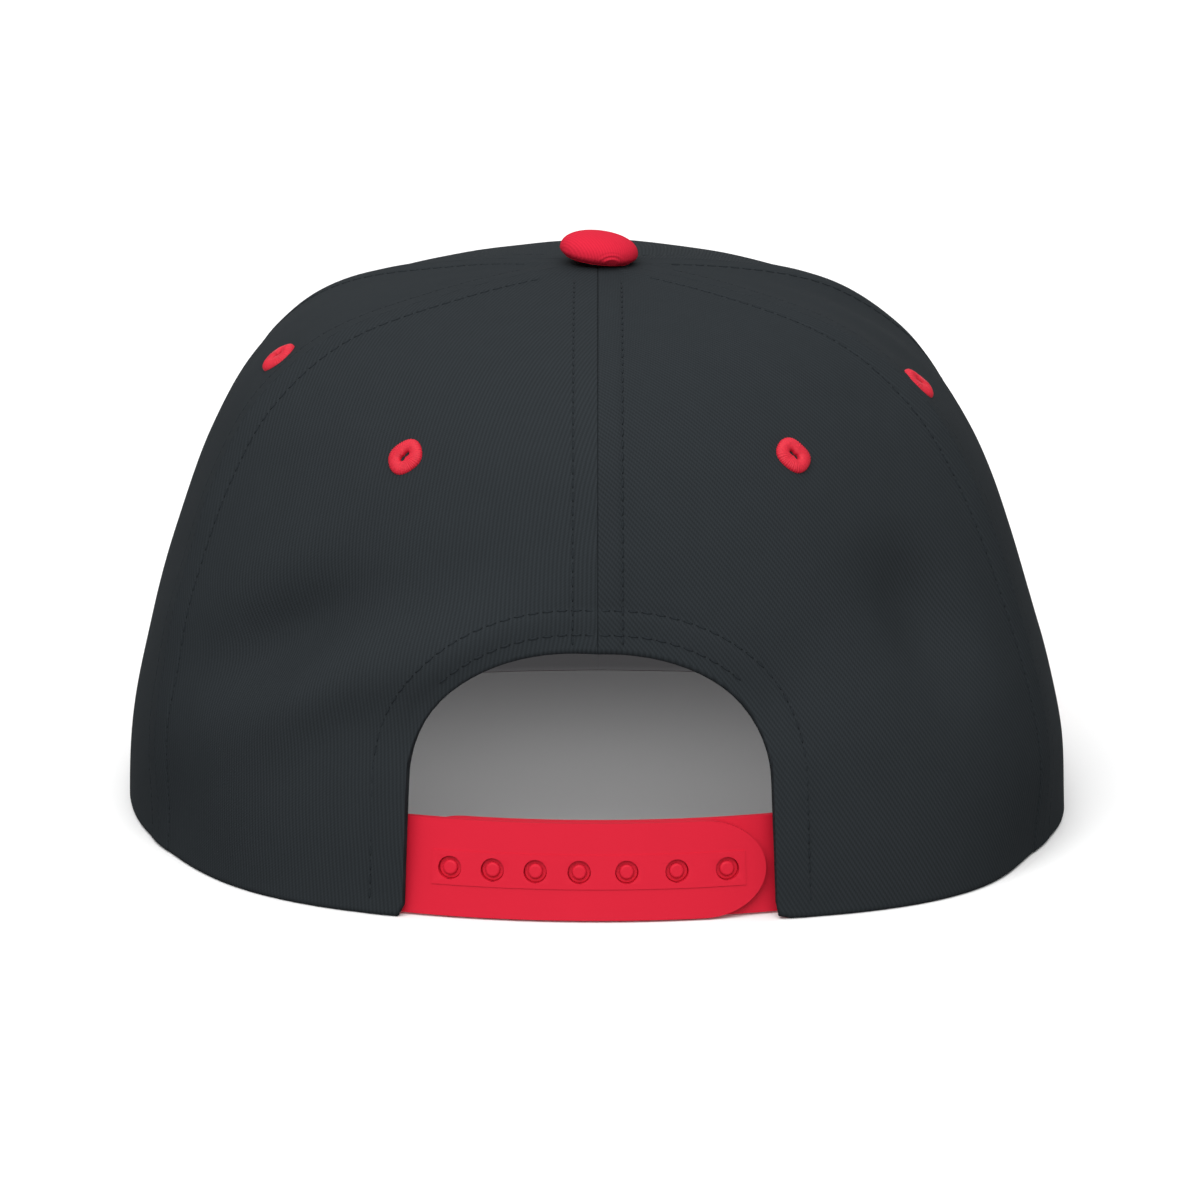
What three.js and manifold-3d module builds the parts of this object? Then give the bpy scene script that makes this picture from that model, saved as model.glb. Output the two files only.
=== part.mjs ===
// Flat bill cap with a fastened snap strap, in millimetres.
// +Y runs forward over the bill, +X to the wearer's right, +Z up; the cap rests on Z = 0.
import * as THREE from 'three';
import { mergeVertices } from 'three/addons/utils/BufferGeometryUtils.js';
import Module from 'manifold-3d';

const wasm = await Module();
wasm.setup();

// Crown cloth, measured on its outer face at the rim
const crownHalfWidth = 91.5;
const crownBack = 90.5;      // from the crown axis to the back
const crownFront = 97;       // from the crown axis to the front
const crownHeight = 107.2;
const clothThick = 1.8;
const gap = 0.3;             // clearance left between neighbouring pieces
const tipAlong = 0.985;      // where the panel tips stop, under the button

// Shape of the crown in even steps from the rim to the top. side, back and front are shares
// of the half-width and of the back and front reach. square bends the plan from an ellipse
// (2) to one with fuller corners. flat is how far each panel goes from a round wall to a
// flat one between two seam ridges.
const crownPlan = [
  { side: 1, back: 1, front: 1, square: 2.5, flat: 0.05 },
  { side: 0.995, back: 0.994, front: 1, square: 2.4, flat: 0.1 },
  { side: 0.962, back: 0.975, front: 0.985, square: 2.3, flat: 0.2 },
  { side: 0.91, back: 0.936, front: 0.943, square: 2.15, flat: 0.3 },
  { side: 0.838, back: 0.871, front: 0.876, square: 2.05, flat: 0.42 },
  { side: 0.736, back: 0.762, front: 0.763, square: 2, flat: 0.5 },
  { side: 0.574, back: 0.586, front: 0.577, square: 2, flat: 0.45 },
  { side: 0.311, back: 0.32, front: 0.32, square: 2, flat: 0.3 },
  { side: 0, back: 0, front: 0, square: 2, flat: 0.1 },
];
// Heights of the same steps, as shares of the crown height.
const crownRise = [
  { side: 0, back: 0, front: 0 },
  { side: 0.168, back: 0.163, front: 0.182 },
  { side: 0.336, back: 0.326, front: 0.359 },
  { side: 0.503, back: 0.494, front: 0.532 },
  { side: 0.663, back: 0.653, front: 0.695 },
  { side: 0.802, back: 0.798, front: 0.831 },
  { side: 0.905, back: 0.903, front: 0.922 },
  { side: 0.965, back: 0.964, front: 0.972 },
  { side: 1, back: 1, front: 1 },
];

// Soft bulges (+) and dents (-). turn and wide are degrees from the back towards +X, along
// and tall are shares of the way up, depth is a share of the half-width, and lean slants
// the shape in degrees of turn for the whole way up.
const softShapes = [
  { turn: -95, along: 0.68, wide: 48, tall: 0.22, depth: 0.026, lean: 0 },
  { turn: 95, along: 0.70, wide: 48, tall: 0.20, depth: -0.028, lean: 0 },
  { turn: 95, along: 0.30, wide: 40, tall: 0.16, depth: -0.018, lean: 0 },
  { turn: -62, along: 0.00, wide: 20, tall: 0.16, depth: -0.033, lean: 0 },
  { turn: -92, along: 0.02, wide: 16, tall: 0.12, depth: 0.013, lean: 0 },
  { turn: 42, along: 0.00, wide: 20, tall: 0.12, depth: 0.024, lean: 0 },
  { turn: 62, along: 0.00, wide: 12, tall: 0.10, depth: -0.030, lean: 0 },
  { turn: -45, along: 0.34, wide: 7, tall: 0.14, depth: -0.022, lean: 80 },
  { turn: -36, along: 0.30, wide: 6, tall: 0.13, depth: 0.010, lean: 80 },
  { turn: -28, along: 0.31, wide: 5, tall: 0.10, depth: -0.014, lean: 60 },
  { turn: 42, along: 0.37, wide: 9, tall: 0.10, depth: -0.024, lean: -30 },
  { turn: 84, along: 0.74, wide: 9, tall: 0.14, depth: -0.020, lean: 0 },
];

// Panels between two seams, in degrees of turn, with the place of the eyelet in each.
const panels = [
  { place: 'back_left', from: -66, to: 0, eyeTurn: -32, eyeAlong: 0.59 },
  { place: 'back_right', from: 0, to: 66, eyeTurn: 33, eyeAlong: 0.59 },
  { place: 'side_left', from: -120, to: -66, eyeTurn: -76, eyeAlong: 0.68 },
  { place: 'side_right', from: 66, to: 120, eyeTurn: 73, eyeAlong: 0.635 },
  { place: 'front_left', from: -180, to: -120, eyeTurn: -148, eyeAlong: 0.61 },
  { place: 'front_right', from: 120, to: 180, eyeTurn: 148, eyeAlong: 0.61 },
];

// Eyelets and button
const eyeletRadius = 3.5;
const eyeletBore = 0.8;
const eyeletPuff = 0.75;     // how far the thread stands proud of the cloth outside
const buttonRadius = 7.6;
const buttonHeight = 5.1;
const buttonTilt = 4;        // degrees, down towards +X
const buttonBase = crownHeight + gap;
// Section of an eyelet's thread on each face of the cloth: out is a share of the thread's
// width from the bore, up is a share of the puff over the cloth.
const eyeletSection = [
  { out: 0, up: 0.25 },
  { out: 0.15, up: 0.75 },
  { out: 0.4, up: 1 },
  { out: 0.78, up: 0.8 },
  { out: 1, up: 0.2 },
];
// Section of the button, as shares of its radius and height.
const buttonSection = [
  { out: 0, up: 0 },
  { out: 0.88, up: 0 },
  { out: 0.98, up: 0.1 },
  { out: 1, up: 0.28 },
  { out: 0.95, up: 0.5 },
  { out: 0.8, up: 0.74 },
  { out: 0.56, up: 0.9 },
  { out: 0.28, up: 0.98 },
  { out: 0, up: 1 },
];

// Strap over the back of the head
const strapWidth = 18;
const strapThick = 1.3;
const strapLow = 0.35;
const strapTop = strapLow + strapWidth;
const strapTuck = 14;        // how far each strap runs in behind the cloth
const strapTail = 11.7;      // length of each rounded end
const strapInset = 0.5;      // middle of the outer strap, in from where the rim would run
const bandWidth = 6.35;      // raised band that carries the snaps
const bandMargin = 3.4;      // band past the outermost snaps
const bandRise = 0.35;
const snapHoleRadius = 2.2;
const studRadius = 1.4;

// Opening over the strap
const archCentre = -1.5;     // sideways, towards the wearer's left
const archHalfWidth = 34.3;
const archFlare = 0.7;       // extra half-width at the rim
const archSide = 5.6;        // straight part of each side above the strap
const archRise = 26.9;       // height of the rounded part
const archSquare = 2.15;

// Where things lie across the opening, as shares of its half-width from its middle
const snapAcross = [-0.772, -0.537, -0.301, -0.059, 0.203, 0.479, 0.757];
const outerTipAcross = 0.972;
const innerTipAcross = -1.064;

// Bill
const billThick = 3.4;
const billLength = 69.5;     // ahead of the rim at the middle
const billFlare = 4.2;       // widening past its rear corners, on each side
const billTurn = 118;        // the bill joins the crown from here round to the other side
// Right half of the bill's edge, from its rear corner to its tip. out is a share of the
// corner's distance from the middle, flare of the widening, ahead of the way to the tip.
const billEdge = [
  { out: 1.005, flare: 0.12, ahead: 0.00 },
  { out: 1.005, flare: 0.60, ahead: 0.10 },
  { out: 1.005, flare: 0.90, ahead: 0.22 },
  { out: 1.000, flare: 1.00, ahead: 0.36 },
  { out: 0.979, flare: 1.00, ahead: 0.515 },
  { out: 0.918, flare: 1.00, ahead: 0.67 },
  { out: 0.803, flare: 0.80, ahead: 0.805 },
  { out: 0.618, flare: 0.50, ahead: 0.911 },
  { out: 0.360, flare: 0.20, ahead: 0.978 },
  { out: 0.000, flare: 0.00, ahead: 1.00 },
];

// Crown axis, placed so that the whole cap is centred on the origin
const strapReach = crownBack - strapInset;
const crownY = (strapReach + bandRise - crownFront - billLength) / 2;

const rad = THREE.MathUtils.degToRad;

// Smooth curve through evenly spaced values, read at a share of the way along.
function along(values, share) {
  const last = values.length - 1;
  const place = THREE.MathUtils.clamp(share, 0, 1) * last;
  const i = Math.min(Math.floor(place), last - 1);
  const u = place - i;
  const at = (k) => (k < 0 ? 2 * values[0] - values[1]
    : k > last ? 2 * values[last] - values[last - 1] : values[k]);
  const [a, b, c, d] = [at(i - 1), at(i), at(i + 1), at(i + 2)];
  return b + 0.5 * u * (c - a + u * (2 * a - 5 * b + 4 * c - d + u * (3 * (b - c) + d - a)));
}

const column = (table, name, size = 1) => table.map((row) => row[name] * size);
const crown = {
  side: column(crownPlan, 'side', crownHalfWidth),
  back: column(crownPlan, 'back', crownBack),
  front: column(crownPlan, 'front', crownFront),
  sideUp: column(crownRise, 'side', crownHeight),
  backUp: column(crownRise, 'back', crownHeight),
  frontUp: column(crownRise, 'front', crownHeight),
  square: column(crownPlan, 'square'),
  flat: column(crownPlan, 'flat'),
};

// A point of the crown's outer face. The panel, when given, flattens the wall between
// its two seams.
function crownPoint(turn, share, panel) {
  const sin = Math.sin(rad(turn));
  const cos = Math.cos(rad(turn));
  const [deep, deepUp] = cos >= 0 ? [crown.back, crown.backUp] : [crown.front, crown.frontUp];
  const up = along(crown.sideUp, share) * sin * sin + along(deepUp, share) * cos * cos;
  const power = along(crown.square, share);
  let reach = (Math.abs(sin / along(crown.side, share)) ** power
    + Math.abs(cos / along(deep, share)) ** power) ** (-1 / power);
  if (panel) {
    const flat = along(crown.flat, share);
    const half = rad((panel.to - panel.from) / 2);
    const off = rad(turn - (panel.from + panel.to) / 2);
    reach *= (1 - flat + flat * Math.cos(half) / Math.cos(off)) * (1 + 0.055 * flat);
  }
  for (const soft of softShapes) {
    const rise = share - soft.along;
    let swing = turn - soft.turn - soft.lean * rise;
    swing -= 360 * Math.round(swing / 360);
    const fade = Math.exp(-((swing / soft.wide) ** 2) - (rise / soft.tall) ** 2);
    reach += soft.depth * crownHalfWidth * fade;
  }
  return new THREE.Vector3(reach * sin, crownY - reach * cos, up);
}

// Outward direction of the wall, the same on both sides of a seam.
function crownNormal(turn, share) {
  const across = crownPoint(turn + 0.5, share).sub(crownPoint(turn - 0.5, share));
  const upward = crownPoint(turn, share + 0.004).sub(crownPoint(turn, share - 0.004));
  return across.cross(upward).normalize();
}

// A closed block with each corner of its grid moved to its place.
function placedBlock(columns, rows, place) {
  const block = new THREE.BoxGeometry(1, 1, 1, columns, rows, 1);
  const spots = block.attributes.position;
  for (let i = 0; i < spots.count; i++) {
    const spot = place(spots.getX(i) + 0.5, spots.getY(i) + 0.5, spots.getZ(i) + 0.5);
    spots.setXYZ(i, spot.x, spot.y, spot.z);
  }
  return block;
}

function joinedCorners(geometry) {
  const plain = geometry.clone();
  plain.deleteAttribute('normal');
  plain.deleteAttribute('uv');
  return mergeVertices(plain, 1e-4);
}

function toSolid(geometry) {
  const joined = joinedCorners(geometry);
  return new wasm.Manifold(new wasm.Mesh({
    numProp: 3,
    vertProperties: new Float32Array(joined.attributes.position.array),
    triVerts: new Uint32Array(joined.index.array),
  }));
}

function toGeometry(solid) {
  const mesh = solid.getMesh();
  const geometry = new THREE.BufferGeometry();
  const corners = new Float32Array(mesh.vertProperties);
  geometry.setAttribute('position', new THREE.BufferAttribute(corners, 3));
  geometry.setIndex(new THREE.BufferAttribute(new Uint32Array(mesh.triVerts), 1));
  return geometry;
}

// A flat outline in X and Z, run straight through the back of the cap.
function backCutter(outline) {
  const block = new THREE.ExtrudeGeometry(outline, { depth: crownBack, bevelEnabled: false, steps: 1 });
  return toSolid(block.rotateX(Math.PI / 2).translate(0, crownY - 0.4 * crownBack, 0));
}

// A turned shape set on the crown with its axis along the wall's outward direction.
function onCrown(geometry, panel) {
  const facing = new THREE.Quaternion().setFromUnitVectors(
    new THREE.Vector3(0, 1, 0), crownNormal(panel.eyeTurn, panel.eyeAlong));
  const spot = crownPoint(panel.eyeTurn, panel.eyeAlong, panel);
  return geometry.applyQuaternion(facing).translate(spot.x, spot.y, spot.z);
}

// One panel of cloth; its thickness runs level at the rim, which rests on the ground.
function panelCloth(panel) {
  return placedBlock(10, 14, (u, v, w) => {
    const share = tipAlong * v;
    const middle = crownPoint((panel.from + panel.to) / 2, share);
    const inset = THREE.MathUtils.radToDeg(gap / 2 / Math.hypot(middle.x, middle.y - crownY));
    const turn = THREE.MathUtils.lerp(panel.from + inset, panel.to - inset, u);
    const outward = crownNormal(turn, share);
    if (v === 0) outward.setZ(0).normalize();
    return crownPoint(turn, share, panel).addScaledVector(outward, clothThick * (w - 1));
  });
}

// Outline of the opening over the strap, run out below the rim.
function archOutline() {
  const steps = 22;
  const round = (value) => Math.sign(value) * Math.abs(value) ** (2 / archSquare);
  const outline = new THREE.Shape();
  outline.moveTo(archCentre - archHalfWidth - archFlare, -clothThick);
  for (let i = 0; i <= steps; i++) {
    const turn = Math.PI * (1 - i / steps);
    outline.lineTo(archCentre + archHalfWidth * round(Math.cos(turn)),
      strapTop + archSide + archRise * round(Math.max(Math.sin(turn), 0)));
  }
  outline.lineTo(archCentre + archHalfWidth + archFlare, -clothThick);
  return outline;
}

function eyeletCutter(panel) {
  return toSolid(onCrown(
    new THREE.CylinderGeometry(eyeletRadius + gap, eyeletRadius + gap, 6 * clothThick, 18), panel));
}

// A puffed ring of thread that fills the hole in the cloth and stands a little proud of both
// of its faces.
function eyeletRing(panel) {
  const outline = (face, over) => eyeletSection.map((row) => new THREE.Vector2(
    eyeletBore + row.out * (eyeletRadius - eyeletBore), face + row.up * over));
  const inside = outline(-clothThick, -eyeletPuff);
  const outside = outline(0, eyeletPuff).reverse();
  return onCrown(new THREE.LatheGeometry([...inside, ...outside, inside[0]], 16), panel);
}

function topButton() {
  const outline = buttonSection.map((row) => new THREE.Vector2(
    row.out * buttonRadius, row.up * buttonHeight));
  return new THREE.LatheGeometry(outline, 28).rotateX(Math.PI / 2).rotateY(rad(buttonTilt))
    .translate(0, crownY, buttonBase);
}

// The outer strap's outer face follows an arc and a lean that clear the inside of the cloth
// from both sides of the opening to the hidden ends, at the rim and at the strap's top.
const strapSpan = archHalfWidth + archFlare;
const strapTopAlong = strapTop / crown.backUp[1] / (crownRise.length - 1);
function insideWall(turn, share) {
  const panel = panels.find((one) => one.from <= turn && turn <= one.to);
  const spot = crownPoint(turn, share, panel);
  spot.addScaledVector(crownNormal(turn, share), -clothThick - gap);
  return { across: Math.abs(spot.x), deep: crownY - spot.y };
}
let strapRadius = Infinity;
let strapLean = 0;
for (let turn = 1; turn < 60; turn++) {
  for (const hand of [-1, 1]) {
    const low = insideWall(hand * turn, 0);
    const hidden = low.across - strapSpan;
    if (hidden < -clothThick || hidden > strapTuck + clothThick) continue;
    const sag = strapReach - low.deep;
    strapRadius = Math.min(strapRadius, (low.across ** 2 + sag ** 2) / (2 * sag));
    strapLean = Math.max(strapLean, (low.deep - insideWall(hand * turn, strapTopAlong).deep) / strapTop);
  }
}
const strapAxis = crownY + strapRadius - strapReach;
const acrossOpening = (share) => archCentre + share * archHalfWidth;

// A strip bent to the strap's curve; lift is how far its face stands over the outer strap's.
function bentStrip(from, to, low, high, lift, thick) {
  return placedBlock(26, 1, (u, v, w) => {
    const up = THREE.MathUtils.lerp(low, high, v);
    const turn = Math.asin(THREE.MathUtils.lerp(from, to, u) / strapRadius);
    const reach = strapRadius + lift - strapLean * up - thick * (1 - w);
    return new THREE.Vector3(reach * Math.sin(turn), strapAxis - reach * Math.cos(turn), up);
  });
}

// The strap's outline seen from behind, square at one end and rounded at its tip.
function strapOutline(hiddenEnd, tip) {
  const heading = Math.sign(tip - hiddenEnd);
  const shoulder = tip - heading * strapTail;
  const steps = 14;
  const outline = new THREE.Shape();
  outline.moveTo(hiddenEnd, strapLow);
  for (let i = 0; i <= steps; i++) {
    const turn = Math.PI * (i / steps - 0.5);
    outline.lineTo(shoulder + heading * strapTail * Math.cos(turn),
      strapLow + strapWidth * (1 + Math.sin(turn)) / 2);
  }
  outline.lineTo(hiddenEnd, strapTop);
  return outline;
}

function strapBody(hiddenEnd, tip, lift) {
  const past = Math.sign(tip - hiddenEnd) * strapThick;
  const [from, to] = [hiddenEnd - past, tip + past].sort((a, b) => a - b);
  return toSolid(bentStrip(from, to, strapLow - strapThick, strapTop + strapThick, lift, strapThick))
    .intersect(backCutter(strapOutline(hiddenEnd, tip)));
}

const snapUp = strapLow + strapWidth / 2;

function outerStrap() {
  const body = strapBody(archCentre - strapSpan - strapTuck, acrossOpening(outerTipAcross), 0);
  const band = toSolid(bentStrip(
    acrossOpening(snapAcross[0]) - bandMargin, acrossOpening(snapAcross.at(-1)) + bandMargin,
    snapUp - bandWidth / 2, snapUp + bandWidth / 2, bandRise, bandRise + strapThick / 2));
  return toGeometry(snapAcross.reduce((solid, share) => solid.subtract(toSolid(
    new THREE.CylinderGeometry(snapHoleRadius, snapHoleRadius, crownBack, 16)
      .translate(acrossOpening(share), crownY - crownBack, snapUp))), body.add(band)));
}

function innerStrap() {
  const lift = -(strapThick + gap);
  const body = strapBody(archCentre + strapSpan + strapTuck, acrossOpening(innerTipAcross), lift);
  return toGeometry(snapAcross.reduce((solid, share) => {
    const turn = Math.asin(acrossOpening(share) / strapRadius);
    const length = bandRise - lift + strapThick / 3;
    const middle = strapRadius - strapLean * snapUp + bandRise - length / 2;
    const stud = new THREE.CylinderGeometry(studRadius, studRadius, length, 12)
      .rotateZ(turn).translate(middle * Math.sin(turn), strapAxis - middle * Math.cos(turn), snapUp);
    return solid.add(toSolid(stud));
  }, body));
}

// The bill's flat board, from just outside the front of the rim to its own edge.
function flatBill() {
  const besideRim = (turn) => {
    const spot = crownPoint(turn, 0, panels.find((one) => one.from <= turn && turn <= one.to));
    const outward = spot.clone().setY(spot.y - crownY).setZ(0).normalize();
    return spot.addScaledVector(outward, gap);
  };
  const corner = besideRim(billTurn);
  const tip = crownY + crownFront + billLength;
  const half = billEdge.map((row) => row.out * corner.x + row.flare * billFlare);
  const ahead = billEdge.map((row) => THREE.MathUtils.lerp(corner.y, tip, row.ahead));
  return placedBlock(36, 3, (u, v, w) => {
    const swing = 1 - Math.abs(2 * u - 1);
    const hand = Math.sign(u - 0.5) || 1;
    const inner = besideRim(THREE.MathUtils.lerp(billTurn, 180, swing) * hand);
    const outer = new THREE.Vector3(hand * along(half, swing), along(ahead, swing), 0);
    return inner.lerp(outer, v).setZ(billThick * w);
  });
}

const clothColour = 0x33383b;
const redColour = 0xdd2e3f;
const materials = {
  cloth: { color: clothColour, roughness: 0.95 },
  thread: { color: redColour, roughness: 0.8 },
  moulding: { color: redColour, roughness: 0.4 },
};

const group = new THREE.Group();
function addPiece(name, geometry, kind) {
  const piece = new THREE.Mesh(joinedCorners(geometry), new THREE.MeshStandardMaterial(materials[kind]));
  piece.name = name;
  group.add(piece);
}

const arch = backCutter(archOutline());
for (const panel of panels) {
  const cloth = toSolid(panelCloth(panel)).subtract(eyeletCutter(panel));
  const open = panel.place.startsWith('back');
  addPiece(`crown_${panel.place}`, toGeometry(open ? cloth.subtract(arch) : cloth), 'cloth');
}
for (const panel of panels) addPiece(`eyelet_${panel.place}`, eyeletRing(panel), 'thread');
addPiece('top_button', topButton(), 'thread');
addPiece('snap_strap_outer', outerStrap(), 'moulding');
addPiece('snap_strap_inner', innerStrap(), 'moulding');
addPiece('flat_bill', flatBill(), 'thread');

export default group;
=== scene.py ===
"""Flat bill cap: charcoal twill crown, red button, eyelets, snap strap and bill.

The frame is in metres: +Y runs forward over the bill, +X to the wearer's right, +Z up.
"""
from collections import namedtuple
import math

import bmesh
import bpy
import numpy as np
from mathutils import Matrix, Vector, kdtree, noise


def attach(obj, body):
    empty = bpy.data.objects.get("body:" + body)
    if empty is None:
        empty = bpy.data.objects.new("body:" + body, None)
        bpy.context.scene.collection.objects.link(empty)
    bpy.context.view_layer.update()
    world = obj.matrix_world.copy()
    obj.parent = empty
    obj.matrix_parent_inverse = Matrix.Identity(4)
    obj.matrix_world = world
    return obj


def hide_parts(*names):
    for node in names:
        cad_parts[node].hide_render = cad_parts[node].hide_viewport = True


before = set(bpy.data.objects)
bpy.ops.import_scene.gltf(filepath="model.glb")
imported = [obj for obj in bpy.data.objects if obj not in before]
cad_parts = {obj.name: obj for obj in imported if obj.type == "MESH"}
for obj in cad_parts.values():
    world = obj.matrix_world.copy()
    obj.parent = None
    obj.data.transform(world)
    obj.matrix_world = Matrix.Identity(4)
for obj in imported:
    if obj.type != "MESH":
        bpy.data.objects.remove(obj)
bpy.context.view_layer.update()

MM = 0.001

# Crown, measured on the outer face of the cloth at the rim
CROWN_HALF_WIDTH = 91.5 * MM
CROWN_BACK = 90.5 * MM
CROWN_FRONT = 97 * MM
CROWN_HEIGHT = 107.2 * MM
CROWN_Y = -38.075 * MM       # the crown's upright axis
CLOTH_THICK = 1.8 * MM
CLOTH_SLACK = 0.2 * MM       # unevenness of the cloth
PANEL_LENGTH = 155 * MM      # along the cloth, from the rim to the top
PANEL_SPREAD = 0.055         # how far a flat panel stands out again at its seams, as a share
TIP_ALONG = 0.985            # where the panel tips stop, under the button

# Shape of the crown in even steps from the rim to the top: reach to the side, back and
# front as shares, how square the plan is, and how flat each panel is.
PLAN = {
    "side": (1, 0.995, 0.962, 0.91, 0.838, 0.736, 0.574, 0.311, 0),
    "back": (1, 0.994, 0.975, 0.936, 0.871, 0.762, 0.586, 0.32, 0),
    "front": (1, 1, 0.985, 0.943, 0.876, 0.763, 0.577, 0.32, 0),
    "square": (2.5, 2.4, 2.3, 2.15, 2.05, 2, 2, 2, 2),
    "flat": (0.05, 0.1, 0.2, 0.3, 0.42, 0.5, 0.45, 0.3, 0.1),
}
# Height of the same steps to the side, back and front, as shares of the crown's height
RISE = {
    "side": (0, 0.168, 0.336, 0.503, 0.663, 0.802, 0.905, 0.965, 1),
    "back": (0, 0.163, 0.326, 0.494, 0.653, 0.798, 0.903, 0.964, 1),
    "front": (0, 0.182, 0.359, 0.532, 0.695, 0.831, 0.922, 0.972, 1),
}

# Soft bulges (+) and dents (-): turn, share of the way up, width in degrees, height in
# shares, depth as a share of the half-width, and slant in degrees for the whole way up.
SOFT_SHAPES = (
    (-95, 0.68, 48, 0.22, 0.026, 0),
    (95, 0.70, 48, 0.20, -0.028, 0),
    (95, 0.30, 40, 0.16, -0.018, 0),
    (-62, 0.00, 20, 0.16, -0.033, 0),
    (-92, 0.02, 16, 0.12, 0.013, 0),
    (42, 0.00, 20, 0.12, 0.024, 0),
    (62, 0.00, 12, 0.10, -0.030, 0),
    (-45, 0.34, 7, 0.14, -0.022, 80),
    (-36, 0.30, 6, 0.13, 0.010, 80),
    (-28, 0.31, 5, 0.10, -0.014, 60),
    (42, 0.37, 9, 0.10, -0.024, -30),
    (84, 0.74, 9, 0.14, -0.020, 0),
    (-42, 0.335, 12, 0.09, -0.048, 130),
    (-25, 0.335, 10, 0.085, 0.052, 130),
    (-55, 0.12, 8, 0.10, -0.016, 60),
    (48, 0.35, 7, 0.10, -0.038, 0),
    (22, 0.30, 9, 0.07, -0.014, 60),
    (45, 0.22, 25, 0.15, 0.014, 0),
    (104, 0.74, 12, 0.09, -0.035, -40),
)

# Panels: the two seams in degrees of turn, the turn and share of the eyelet, and how far the
# twill's ribs turn from the panel's middle line, as the cloth was cut
Panel = namedtuple("Panel", "name start end eyelet_turn eyelet_share rib_turn")
PANELS = (
    Panel("back_left", -66, 0, -32, 0.59, 7),
    Panel("back_right", 0, 66, 33, 0.59, 31),
    Panel("side_left", -120, -66, -76, 0.68, 31),
    Panel("side_right", 66, 120, 73, 0.635, 31),
    Panel("front_left", -180, -120, -148, 0.61, 31),
    Panel("front_right", 120, 180, 148, 0.61, 31),
)

# Strap, bent to an arc about an upright axis and leaning in towards its top
STRAP_WIDTH = 18 * MM
STRAP_THICK = 1.3 * MM
STRAP_LOW = 0.35 * MM
STRAP_TOP = STRAP_LOW + STRAP_WIDTH
STRAP_TUCK = 14 * MM
STRAP_TAIL = 11.7 * MM
STRAP_BEND = 112.85 * MM
STRAP_LEAN = 0.1482
STRAP_AXIS = -15.22 * MM
STRAP_GAP = 0.3 * MM         # between the two straps
STRAP_SOFT_EDGE = 0.35 * MM
STRAP_STRIP = 2.5 * MM       # strips of a flat plate that let it bend
BAND_WIDTH = 6.35 * MM
BAND_MARGIN = 3.4 * MM
BAND_RISE = 0.16 * MM
BAND_SOFT_EDGE = 0.5 * MM
SNAP_HOLE = 2.2 * MM
SNAP_STUD = 1.4 * MM
SNAP_COLLAR = 2.18 * MM      # foot of each stud, which nearly fills the hole
STUD_PROUD = 0.02 * MM
STUD_ROUNDING = 0.5 * MM
COLLAR_SUNK = 0.7 * MM
COLLAR_ROUNDING = 0.25 * MM
STUD_FOOT = 0.4 * MM         # how deep a stud and its collar sit in the strap
SNAP_UP = STRAP_LOW + STRAP_WIDTH / 2
SNAP_ACROSS = (-0.772, -0.537, -0.301, -0.059, 0.203, 0.479, 0.757)
OUTER_TIP = 0.972
INNER_TIP = -1.064

# Opening over the strap
ARCH_CENTRE = -1.5 * MM
ARCH_HALF_WIDTH = 34.3 * MM
ARCH_FLARE = 0.7 * MM
ARCH_LOW = STRAP_TOP + 5.6 * MM
ARCH_RISE = 26.9 * MM
ARCH_SQUARE = 2.15
ARCH_CORNER = 0.9 * MM       # rounding of the cloth's lower corners
HEM_TOP = 7.8 * MM           # hem stitching over the opening's edge, at its top
HEM_SIDE = 6.3 * MM          # and beside it, at its sides
HEM_NEAR = 3.4 * MM          # second row of hem stitching

# Sewing
SEAM_ROW = 4.7 * MM          # topstitching on each side of a seam
SEAM_ROLL = 0.28 * MM        # rounding of the cloth where it turns in at a seam
SEAM_FOLD = 0.25 * MM        # how far the cloth folded in at a seam lifts the outer face
SEAM_PULL = 0.2 * MM         # how deep the topstitching draws it down
SEAM_ROW_TOP = 0.945         # share of the way up where the topstitching ends
HEM_FOLD = 0.28 * MM
HEM_PULL = {"row": 0.13 * MM, "near_row": 0.08 * MM}
STITCH_PITCH = 2.7 * MM
STITCH_LENGTH = 2.1 * MM
THREAD_RADIUS = 0.2 * MM

# Eyelets and button
EYELET_RADIUS = 3.5 * MM
EYELET_BORE = 0.8 * MM
EYELET_PUFF = 0.75 * MM
EYELET_THREADS = 44
EYELET_RIDGE = 0.055 * MM    # height of a thread over the next gap
EYELET_DENT = 0.35 * MM      # how deep an eyelet draws the cloth in
BUTTON_RADIUS = 7.6 * MM
BUTTON_HEIGHT = 5.1 * MM
BUTTON_TILT = 7              # degrees
BUTTON_FOLD = 0.14 * MM
BUTTON_FOLD_STEP = 0.72 * MM
BUTTON_BASE = CROWN_HEIGHT + 0.3 * MM

# Bill, and its right half's edge from its rear corner to its tip: out is a share of the
# corner's distance from the middle, flare of the widening, ahead of the way to the tip.
BILL_THICK = 3.4 * MM
BILL_LENGTH = 69.5 * MM
BILL_FLARE = 4.2 * MM
BILL_TURN = 118              # turn of its rear corners
BILL_EDGE = {
    "out": (1.005, 1.005, 1.005, 1, 0.979, 0.918, 0.803, 0.618, 0.36, 0),
    "flare": (0.12, 0.6, 0.9, 1, 1, 1, 0.8, 0.5, 0.2, 0),
    "ahead": (0, 0.1, 0.22, 0.36, 0.515, 0.67, 0.805, 0.911, 0.978, 1),
}
BILL_ROWS = 8
BILL_ROW_FIRST = 4.5 * MM
BILL_ROW_STEP = 6.6 * MM
BILL_PULL = 0.22 * MM        # how deep its stitching draws the cloth down
BILL_GAP = 0.3 * MM          # between the rim and the bill


# Shape of the crown

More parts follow.
